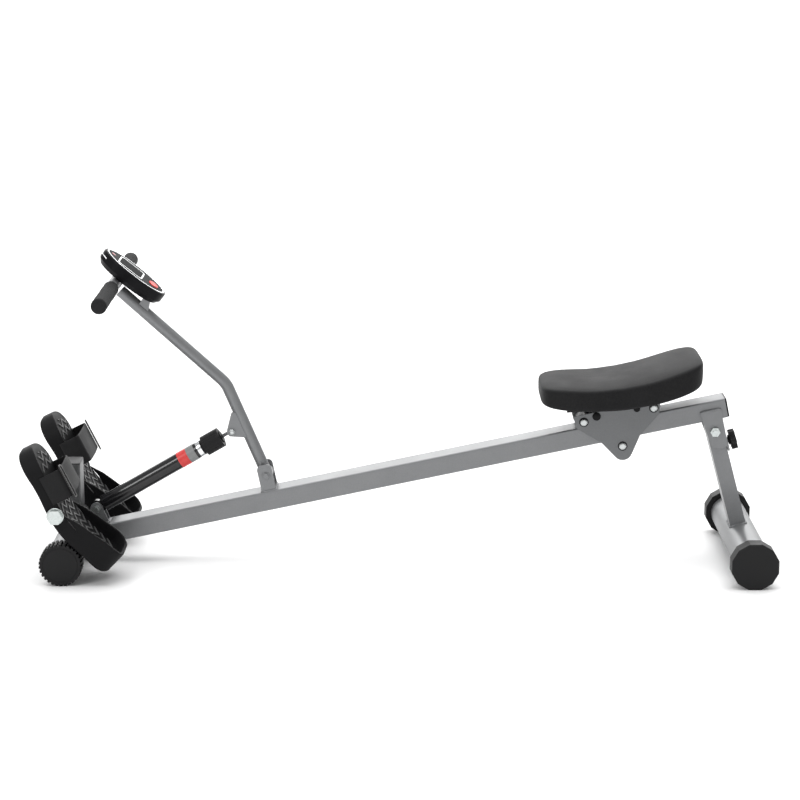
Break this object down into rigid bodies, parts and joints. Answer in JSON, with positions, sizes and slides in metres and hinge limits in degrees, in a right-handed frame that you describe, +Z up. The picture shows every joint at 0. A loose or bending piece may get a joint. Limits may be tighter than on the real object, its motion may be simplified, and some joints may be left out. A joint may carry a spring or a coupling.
{
  "type": "rowing machine",
  "caption": "Folding single-rail rowing machine with a hydraulic damper mast, hinged foot pedals with straps, rolling saddle seat and folding rear leg.",
  "frame": {"origin": "floor level under the middle of the machine's length and width", "axes": "+X towards the rear (seat) end, +Y towards the user's right, +Z up"},
  "size_m": [1.3547, 0.508, 0.5844],
  "materials": {
    "frame_silver": "silver grey powder coat",
    "zinc_hardware": "zinc plated",
    "black_plastic": "fine texture",
    "tread_rubber": "moulded",
    "strap_web": "smooth",
    "black_wire": "black",
    "grip_foam": "closed cell foam",
    "console_gloss": "gloss black",
    "trim_chrome": "polished",
    "display_grey": "display panel",
    "display_glass": "tinted window",
    "button_red": "red",
    "damper_black": "gloss black",
    "label_red": "plain red band",
    "label_grey": "plain grey band",
    "rod_steel": "dark steel",
    "seat_cover": "grained vinyl",
    "roller_nylon": "nylon"
  },
  "bodies": {
    "frame": {"rail": "frame_silver", "rail_end_cap": "black_plastic", "front_post": "frame_silver", "post_cap": "black_plastic", "front_cross_tube": "frame_silver", "front_axle": "zinc_hardware", "cylinder_clevis": "frame_silver", "clevis_bolt": "zinc_hardware", "pedal_axle": "zinc_hardware", "axle_nut_left": "zinc_hardware", "axle_nut_right": "zinc_hardware", "mast_bracket": "frame_silver", "mast_bolt": "zinc_hardware", "rear_bracket": "frame_silver", "rear_bolt": "zinc_hardware"},
    "front_wheel_l": {"front_wheel_left": "black_plastic"},
    "front_wheel_r": {"front_wheel_right": "black_plastic"},
    "pedal_l": {"pedal_left": "black_plastic", "tread_left": "tread_rubber", "strap_left": "strap_web", "buckle_left": "black_wire"},
    "pedal_r": {"pedal_right": "black_plastic", "tread_right": "tread_rubber", "strap_right": "strap_web", "buckle_right": "black_wire"},
    "mast": {"mast_tube": "frame_silver", "mast_tabs": "frame_silver", "tab_bolt": "zinc_hardware", "t_bar": "frame_silver", "grip_left": "grip_foam", "grip_right": "grip_foam", "console_bracket": "frame_silver", "console_housing": "black_plastic", "console_ring": "trim_chrome", "console_face": "console_gloss", "console_lcd": "display_grey", "console_lens": "display_glass"},
    "console_key": {"console_button": "button_red"},
    "damper_piston": {"damper_rod": "rod_steel"},
    "damper_cylinder": {"damper_barrel": "damper_black", "damper_label_red": "label_red", "damper_label_grey": "label_grey", "damper_ring": "trim_chrome"},
    "damper_dial": {"damper_knob": "black_plastic"},
    "seat": {"seat_pad": "seat_cover", "seat_base": "black_plastic", "carriage_plate_left": "frame_silver", "carriage_plate_right": "frame_silver", "roller_bolt_front": "zinc_hardware", "roller_bolt_rear": "zinc_hardware", "roller_bolt_lower": "zinc_hardware"},
    "wheel_front": {"roller_front": "roller_nylon"},
    "wheel_rear": {"roller_rear": "roller_nylon"},
    "wheel_lower": {"roller_lower": "roller_nylon"},
    "leg": {"rear_leg": "frame_silver", "rear_cross_tube": "frame_silver", "rear_cap_left": "black_plastic", "rear_cap_right": "black_plastic"},
    "clamp": {"lock_knob": "black_plastic"}
  },
  "joints": [
    {"name": "front_wheel_left_spin", "type": "hinge", "parent": "frame", "child": "front_wheel_l", "pos_m": [-0.611, -0.00016, 0.03875], "axis": [0, 1, 0], "continuous": true},
    {"name": "front_wheel_right_spin", "type": "hinge", "parent": "frame", "child": "front_wheel_r", "pos_m": [-0.611, 0.00016, 0.03875], "axis": [0, 1, 0], "continuous": true},
    {"name": "pedal_left_tilt", "type": "hinge", "parent": "frame", "child": "pedal_l", "pos_m": [-0.616, -0.00013, 0.132], "axis": [0, -1, 0], "range_deg": [0, 25]},
    {"name": "pedal_right_tilt", "type": "hinge", "parent": "frame", "child": "pedal_r", "pos_m": [-0.616, 0.00013, 0.132], "axis": [0, -1, 0], "range_deg": [0, 25]},
    {"name": "mast_swing", "type": "hinge", "parent": "frame", "child": "mast", "pos_m": [-0.2494, 0, 0.165], "axis": [0, 1, 0], "range_deg": [0, 42]},
    {"name": "console_key_press", "type": "slide", "parent": "mast", "child": "console_key", "axis": [-0.6239, 0, -0.7815], "range_m": [0, 0.001], "stiffness_N_per_m": 400},
    {"name": "damper_rod_pivot", "type": "hinge", "parent": "mast", "child": "damper_piston", "pos_m": [-0.3116, 0, 0.2456], "axis": [0, 1, 0], "range_deg": [-48, 2]},
    {"name": "damper_stroke", "type": "slide", "parent": "damper_piston", "child": "damper_cylinder", "axis": [-0.8653, 0, -0.5012], "range_m": [-0.002, 0.095]},
    {"name": "resistance_dial", "type": "hinge", "parent": "damper_cylinder", "child": "damper_dial", "pos_m": [-0.35133, 0, 0.22259], "axis": [0.8653, 0, 0.5012], "range_deg": [0, 330]},
    {"name": "seat_slide", "type": "slide", "parent": "frame", "child": "seat", "axis": [0.9787, 0, 0.2055], "range_m": [-0.4, 0.03]},
    {"name": "roller_front_spin", "type": "hinge", "parent": "seat", "child": "wheel_front", "pos_m": [0.33358, 0, 0.26914], "axis": [0, 1, 0], "range_deg": [-2400, 2400]},
    {"name": "roller_rear_spin", "type": "hinge", "parent": "seat", "child": "wheel_rear", "pos_m": [0.46081, 0, 0.29586], "axis": [0, 1, 0], "range_deg": [-2400, 2400]},
    {"name": "roller_lower_spin", "type": "hinge", "parent": "seat", "child": "wheel_lower", "pos_m": [0.4053, 0, 0.22443], "axis": [0, 1, 0], "range_deg": [-2400, 2400]},
    {"name": "rear_leg_fold", "type": "hinge", "parent": "frame", "child": "leg", "pos_m": [0.5745, 0, 0.25], "axis": [0, 1, 0], "range_deg": [0, 75]},
    {"name": "clamp_turn", "type": "hinge", "parent": "frame", "child": "clamp", "pos_m": [0.61106, 0, 0.22988], "axis": [0.965, 0, 0.2623], "range_deg": [0, 720]}
  ],
  "couplings": [
    {"joint": "damper_rod_pivot", "follows": "mast_swing", "ratio": -0.95},
    {"joint": "damper_stroke", "follows": "mast_swing", "m_per_rad": 0.1005},
    {"joint": "roller_front_spin", "follows": "seat_slide", "rad_per_m": 89.286},
    {"joint": "roller_rear_spin", "follows": "seat_slide", "rad_per_m": 89.286},
    {"joint": "roller_lower_spin", "follows": "seat_slide", "rad_per_m": -89.286}
  ]
}
